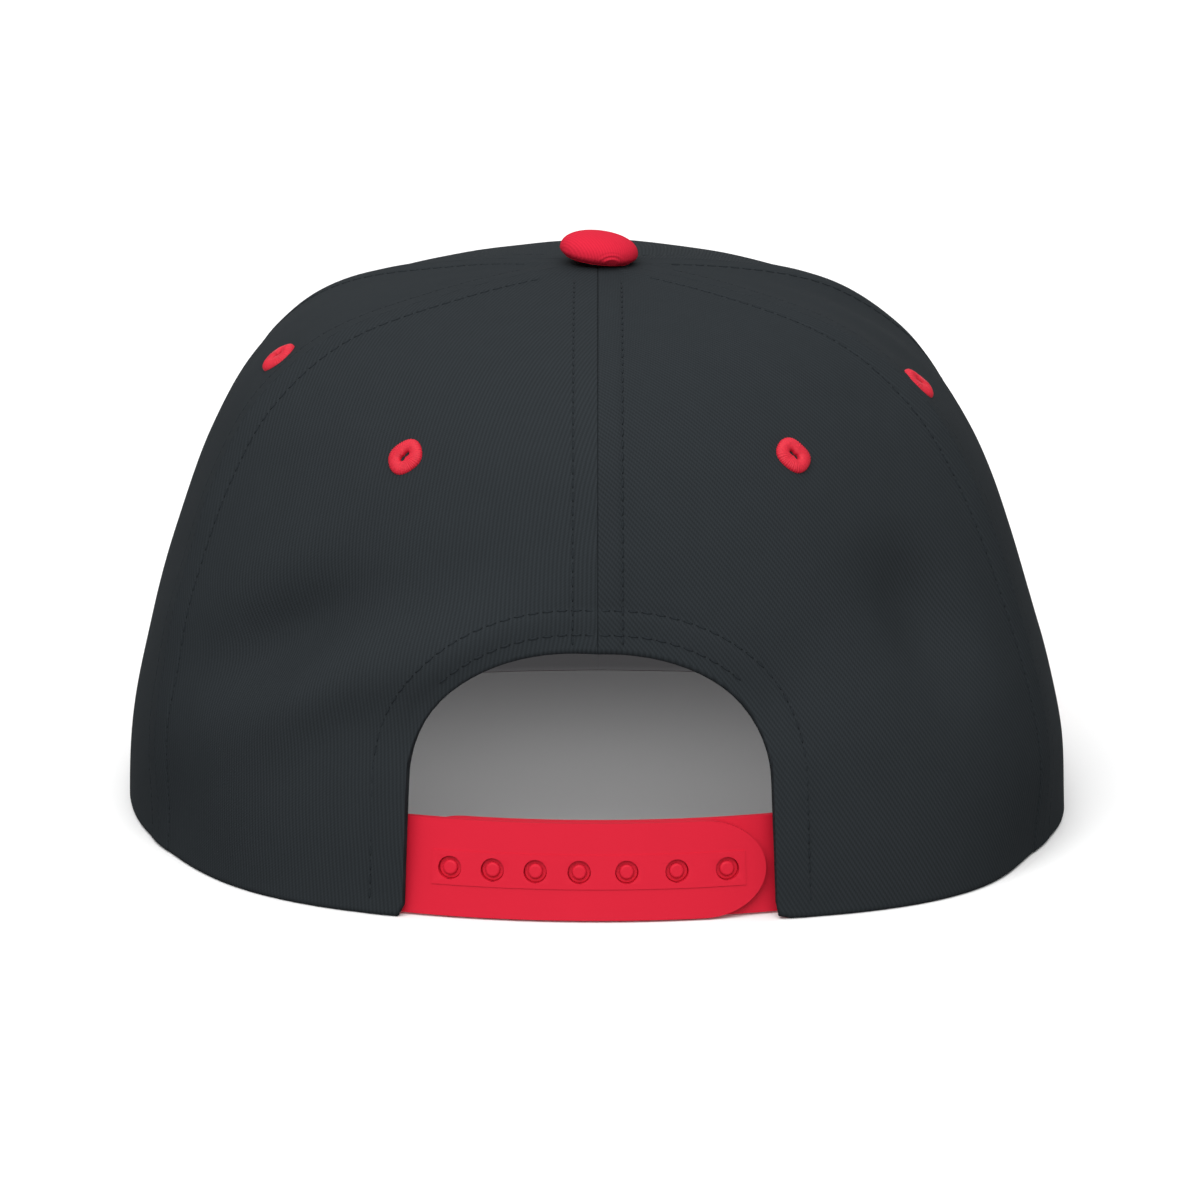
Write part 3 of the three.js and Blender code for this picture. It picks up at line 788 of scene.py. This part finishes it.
def flat_bill(material):
    """A flat board under cloth, rounded along its edge."""
    columns, rows = 150, 120
    bm = bmesh.new()
    bmesh.ops.create_grid(bm, x_segments=columns, y_segments=rows, size=0.5)
    across = np.linspace(0, 1, columns + 1)
    swing = 1 - abs(2 * across - 1)
    inner = beside_rim((BILL_TURN + (180 - BILL_TURN) * swing) * np.where(across < 0.5, -1, 1))
    outer = bill_edge(across)
    outer[columns // 2] = (0, CROWN_Y + CROWN_FRONT + BILL_LENGTH, 0)
    for vert in bm.verts:
        i, ahead = round((vert.co.x + 0.5) * columns), 1 - (0.5 - vert.co.y) ** 1.3
        vert.co = Vector(inner[i]).lerp(Vector(outer[i]), ahead)
    made = bmesh.ops.extrude_face_region(bm, geom=bm.faces[:])
    upper = [g for g in made["geom"] if isinstance(g, bmesh.types.BMVert)]
    bmesh.ops.translate(bm, vec=(0, 0, BILL_THICK), verts=upper)
    bmesh.ops.recalc_face_normals(bm, faces=bm.faces)
    sinking = bill_sinking(np.array([vert.co for vert in bm.verts]))
    for vert, sunk in zip(bm.verts, sinking):
        vert.co.z += sunk if vert.co.z < BILL_THICK / 2 else -sunk
    bmesh.ops.remove_doubles(bm, verts=bm.verts, dist=1e-6)
    return add_piece("bill_cover", bm, material, ["flat_bill"])


def bill_stitches(material):
    """Rows of stitching on both faces of the bill, even with its edge."""
    rows = []
    heading = np.gradient(bill_line, axis=0)
    heading /= np.linalg.norm(heading, axis=1, keepdims=True)
    inward = np.stack((-heading[:, 1], heading[:, 0], 0 * heading[:, 0]), axis=-1)
    inward *= np.sign(np.sum(inward * ((0, CROWN_Y, 0) - bill_line), axis=1))[:, None]
    for n in range(BILL_ROWS):
        away = BILL_ROW_FIRST + n * BILL_ROW_STEP
        row = bill_line + away * inward
        keep = distances(rim_tree, row) > 3 * MM
        keep &= distances(bill_tree, row) > away - 0.2 * MM
        keep &= np.linalg.norm(row - (0, CROWN_Y, 0), axis=1) > 0.93 * CROWN_HALF_WIDTH
        for run in stretches(keep):
            for up, out in ((BILL_THICK - 0.2 * MM, 1.0), (0.2 * MM, -1.0)):
                outs = np.tile((0.0, 0.0, out), (len(run), 1))
                rows.append(stitch_row(row[run] + (0, 0, up), outs))
    return add_piece("bill_topstitch", joined(rows), material)


# Finishes

RIB = 0.78 * MM              # between the twill's ribs
BAND_SPACING = 0.31416       # metres between the bands of a wave texture of scale 1


def paint(code):
    """An sRGB hex colour as linear values."""
    channels = [int(code[i:i + 2], 16) / 255 for i in (1, 3, 5)]
    return (*[c / 12.92 if c <= 0.04045 else ((c + 0.055) / 1.055) ** 2.4 for c in channels], 1)


def add(tree, kind, links=None, **settings):
    """Adds a node with its settings; links gives each socket a value or another's output."""
    node = tree.nodes.new("ShaderNode" + kind)
    for name, value in settings.items():
        setattr(node, name, value)
    for socket, value in (links or {}).items():
        if isinstance(value, bpy.types.NodeSocket):
            tree.links.new(value, node.inputs[socket])
        else:
            node.inputs[socket].default_value = value
    return node


def new_material(name):
    """A material with no nodes yet, and its tree."""
    material = bpy.data.materials.new(name)
    material.use_nodes = True
    material.node_tree.nodes.clear()
    return material, material.node_tree


def twill(name, dark, light, rib_turn, rib, on_uv=True, depth=0.1 * MM):
    """Cotton twill, woven: fine diagonal ribs with painted highlight on them and painted shade
    between, on a soft matt ground.
    """
    material, tree = new_material(name)
    if on_uv:
        place = add(tree, "UVMap", uv_map="weave").outputs["UV"]
    else:
        place = add(tree, "TexCoord").outputs["Object"]
    wave = BAND_SPACING / rib
    turned = add(tree, "Mapping", {"Vector": place, "Rotation": (0, 0, -math.radians(rib_turn))})
    ribs = add(tree, "TexWave", {
        "Vector": turned.outputs["Vector"], "Scale": wave, "Distortion": 1.4, "Detail": 1.5,
        "Detail Scale": 0.35}, bands_direction="X")
    cross_turn = math.radians(62 - rib_turn)
    crossed = add(tree, "Mapping", {"Vector": place, "Rotation": (0, 0, cross_turn)})
    yarns = add(tree, "TexWave", {
        "Vector": crossed.outputs["Vector"], "Scale": 1.7 * wave, "Distortion": 1.2, "Detail": 1,
        "Detail Scale": 0.5}, bands_direction="X")
    fibres = add(tree, "TexNoise", {"Vector": place, "Scale": 1 / (0.4 * MM), "Detail": 2})
    cloudy = add(tree, "TexNoise", {"Vector": place, "Scale": 1 / (6 * MM), "Detail": 3})
    weave = add(tree, "Mix", {"Factor": 0.3, "A": ribs.outputs["Fac"], "B": yarns.outputs["Fac"]})
    height = add(tree, "Mix", {
        "Factor": 0.25, "A": weave.outputs["Result"], "B": fibres.outputs["Fac"]})
    # Colour follows the weave's height: painted highlight on the raised ribs, painted shade in the
    # grooves, mixed with random cloudy tone.
    weave_shade_and_tone = add(tree, "Mix", {
        "Factor": 0.15, "A": height.outputs["Result"], "B": cloudy.outputs["Fac"]})
    colour = add(tree, "Mix", {
        "Factor": weave_shade_and_tone.outputs["Result"], "A": paint(dark), "B": paint(light)}, data_type="RGBA")
    bump = add(tree, "Bump", {
        "Height": height.outputs["Result"], "Strength": 0.6, "Distance": depth})
    shader = add(tree, "BsdfPrincipled", {
        "Base Color": colour.outputs["Result"], "Roughness": 0.95, "Specular IOR Level": 0.02,
        "Normal": bump.outputs["Normal"]})
    add(tree, "OutputMaterial", {"Surface": shader.outputs["BSDF"]})
    return material


def sewing_thread(name, dark, light):
    """Spun polyester thread: a faint gloss, painted shade where it dives into the cloth."""
    material, tree = new_material(name)
    place = add(tree, "UVMap", uv_map="UVMap").outputs["UV"]
    apart = add(tree, "SeparateXYZ", {"Vector": place})
    # Along each stitch, end to end: painted shade at both ends where the thread dives into the
    # cloth.
    near = add(tree, "MapRange", {
        "Value": apart.outputs["Y"], "From Min": 0.1, "From Max": 0.35})
    far = add(tree, "MapRange", {
        "Value": apart.outputs["Y"], "From Min": 0.9, "From Max": 0.65})
    unshaded_middle = add(tree, "Math", {0: near.outputs["Result"], 1: far.outputs["Result"]},
               operation="MULTIPLY")
    # dark is the painted shade at the stitch ends, light the thread's own colour in the middle
    colour = add(tree, "Mix", {
        "Factor": unshaded_middle.outputs["Value"], "A": paint(dark), "B": paint(light)}, data_type="RGBA")
    shader = add(tree, "BsdfPrincipled", {
        "Base Color": colour.outputs["Result"], "Roughness": 0.85, "Specular IOR Level": 0.05})
    add(tree, "OutputMaterial", {"Surface": shader.outputs["BSDF"]})
    return material


def embroidery(name, dark, light):
    """Rayon embroidery thread, wound: fibres with a soft gloss, painted highlight on them and
    painted shade between them.
    """
    material, tree = new_material(name)
    place = add(tree, "TexCoord").outputs["Object"]
    fibres = add(tree, "TexNoise", {
        "Vector": place, "Scale": 1 / (0.4 * MM), "Detail": 3, "Roughness": 0.6})
    # The same noise sets colour and bump: painted highlight on the raised fibres, painted shade
    # between them.
    colour = add(tree, "Mix", {
        "Factor": fibres.outputs["Fac"], "A": paint(dark), "B": paint(light)}, data_type="RGBA")
    bump = add(tree, "Bump", {
        "Height": fibres.outputs["Fac"], "Strength": 0.4, "Distance": 0.08 * MM})
    shader = add(tree, "BsdfPrincipled", {
        "Base Color": colour.outputs["Result"], "Roughness": 0.6, "Specular IOR Level": 0.25,
        "Normal": bump.outputs["Normal"]})
    add(tree, "OutputMaterial", {"Surface": shader.outputs["BSDF"]})
    return material


def moulded(name, dark, light):
    """Soft polyethylene, moulded: even colour, satin, with a very fine grain."""
    material, tree = new_material(name)
    place = add(tree, "TexCoord").outputs["Object"]
    grain = add(tree, "TexNoise", {"Vector": place, "Scale": 1 / (0.55 * MM), "Detail": 2})
    cloudy = add(tree, "TexNoise", {"Vector": place, "Scale": 1 / (11 * MM), "Detail": 2})
    colour = add(tree, "Mix", {
        "Factor": cloudy.outputs["Fac"], "A": paint(dark), "B": paint(light)}, data_type="RGBA")
    rough = add(tree, "MapRange", {
        "Value": cloudy.outputs["Fac"], "To Min": 0.45, "To Max": 0.55})
    bump = add(tree, "Bump", {
        "Height": grain.outputs["Fac"], "Strength": 0.25, "Distance": 0.03 * MM})
    shader = add(tree, "BsdfPrincipled", {
        "Base Color": colour.outputs["Result"], "Roughness": rough.outputs["Result"], "IOR": 1.51,
        "Specular IOR Level": 0.09, "Normal": bump.outputs["Normal"]})
    add(tree, "OutputMaterial", {"Surface": shader.outputs["BSDF"]})
    return material


def stiffened_back(name, shade):
    """Cotton backed with stiff gauze: plain, matt and a little mottled."""
    material, tree = new_material(name)
    place = add(tree, "TexCoord").outputs["Object"]
    gauze = add(tree, "TexNoise", {"Vector": place, "Scale": 1 / (0.6 * MM), "Detail": 2})
    bump = add(tree, "Bump", {
        "Height": gauze.outputs["Fac"], "Strength": 0.4, "Distance": 0.1 * MM})
    shader = add(tree, "BsdfPrincipled", {
        "Base Color": paint(shade), "Roughness": 0.95, "Specular IOR Level": 0.1,
        "Normal": bump.outputs["Normal"]})
    add(tree, "OutputMaterial", {"Surface": shader.outputs["BSDF"]})
    return material


def paper(name, shade):
    """Seamless studio paper: plain, pale and matt."""
    material, tree = new_material(name)
    shader = add(tree, "BsdfPrincipled", {
        "Base Color": paint(shade), "Roughness": 0.95, "Specular IOR Level": 0.1})
    add(tree, "OutputMaterial", {"Surface": shader.outputs["BSDF"]})
    return material


# Each twill mixes its two colours by the weave's height, as painted shade in the grooves and
# painted highlight on the ribs, and by random cloudy tone.
crown_twill = twill("charcoal_cotton_twill", "#1f2224", "#2c3033", 0, RIB)
backing = stiffened_back("grey_stiffened_back", "#767678")
button_twill = twill("red_button_twill", "#ac1c2f", "#c6263a", 30, 0.6 * MM, depth=0.06 * MM)
bill_twill = twill("red_bill_twill", "#8c1220", "#b02030", 45, RIB, on_uv=False)
# The first colour of each sewing thread is painted shade at its stitch ends.
tonal_thread = sewing_thread("charcoal_sewing_thread", "#0d0f10", "#222629")
red_thread = sewing_thread("red_sewing_thread", "#500a14", "#b02030")
# The eyelet thread's two colours are painted shade between its fibres and painted highlight on
# them.
eyelet_thread = embroidery("red_embroidery_thread", "#9c1326", "#d32035")
strap_plastic = moulded("red_moulded_strap", "#c01c30", "#c61d32")
studio_paper = paper("white_studio_paper", "#ececec")


# The cap

for panel in PANELS:
    crown_panel(panel, crown_twill, backing)
    eyelet(panel, eyelet_thread)
crown_stitches(tonal_thread)
opening_stitches(tonal_thread)
top_button(button_twill)
strap_outer(strap_plastic)
strap_inner(strap_plastic)
flat_bill(bill_twill)
bill_stitches(red_thread)


# Studio

def floor(material):
    """A wide sheet of paper under the cap, which doesn't flood the cloth with its own light."""
    bm = bmesh.new()
    bmesh.ops.create_grid(bm, x_segments=1, y_segments=1, size=6)
    bmesh.ops.translate(bm, vec=(0, 0, -0.1 * MM), verts=bm.verts)
    mesh = finished_mesh("paper_floor", bm)
    mesh.materials.append(material)
    piece = bpy.data.objects.new("paper_floor", mesh)
    bpy.context.scene.collection.objects.link(piece)
    piece.visible_diffuse = False


def softbox(name, turn, rise, away, wide, tall, brightness, ahead=0.0):
    """A softbox turn degrees round from the camera and rise degrees up, away metres from the
    place that it lights: ahead metres in front of the crown's middle."""
    lamp = bpy.data.lights.new(name, "AREA")
    lamp.shape = "RECTANGLE"
    lamp.size, lamp.size_y = wide, tall
    lamp.energy = brightness * math.pi * wide * tall
    light = bpy.data.objects.new(name, lamp)
    aim = Vector((0, CROWN_Y + ahead, 30 * MM))
    turn, rise = math.radians(turn), math.radians(rise)
    level = math.cos(rise)
    way = Vector((math.sin(turn) * level, -math.cos(turn) * level, math.sin(rise)))
    light.location = aim + away * way
    light.visible_camera = False
    light.rotation_euler = (-way).to_track_quat("-Z", "Y").to_euler()
    bpy.context.scene.collection.objects.link(light)


def camera():
    """From behind and a little above, as in the photograph."""
    rise = math.radians(14.2)
    away = 1700 * MM
    target = Vector((0.4 * MM, CROWN_Y, 39.3 * MM))
    lens = bpy.data.cameras.new("camera")
    lens.sensor_width = 36
    lens.lens = 261.1
    lens.clip_start = 0.05
    lens.clip_end = 40
    view = bpy.data.objects.new("camera", lens)
    view.location = target + away * Vector((0, -math.cos(rise), math.sin(rise)))
    view.rotation_euler = (target - view.location).to_track_quat("-Z", "Y").to_euler()
    bpy.context.scene.collection.objects.link(view)
    bpy.context.scene.camera = view


floor(studio_paper)
softbox("front_softbox", -4, 22, 2.2, 3.0, 0.5, 3.5)
softbox("key_softbox", -13, 50, 2.2, 2.6, 1.5, 4.0)
softbox("fill_softbox", 180, 22, 2.2, 1.8, 0.9, 1.5)
softbox("top_softbox", 0, 88, 2.0, 2.8, 2.6, 1.2, ahead=0.6)
softbox("inside_softbox", 0, 90, 50 * MM, 60 * MM, 60 * MM, 1.25, ahead=18 * MM)
world = bpy.data.worlds.new("studio")
world.use_nodes = True
world.node_tree.nodes["Background"].inputs["Color"].default_value = paint("#ffffff")
world.node_tree.nodes["Background"].inputs["Strength"].default_value = 0.45
bpy.context.scene.world = world
bpy.context.scene.view_settings.view_transform = "Standard"
camera()
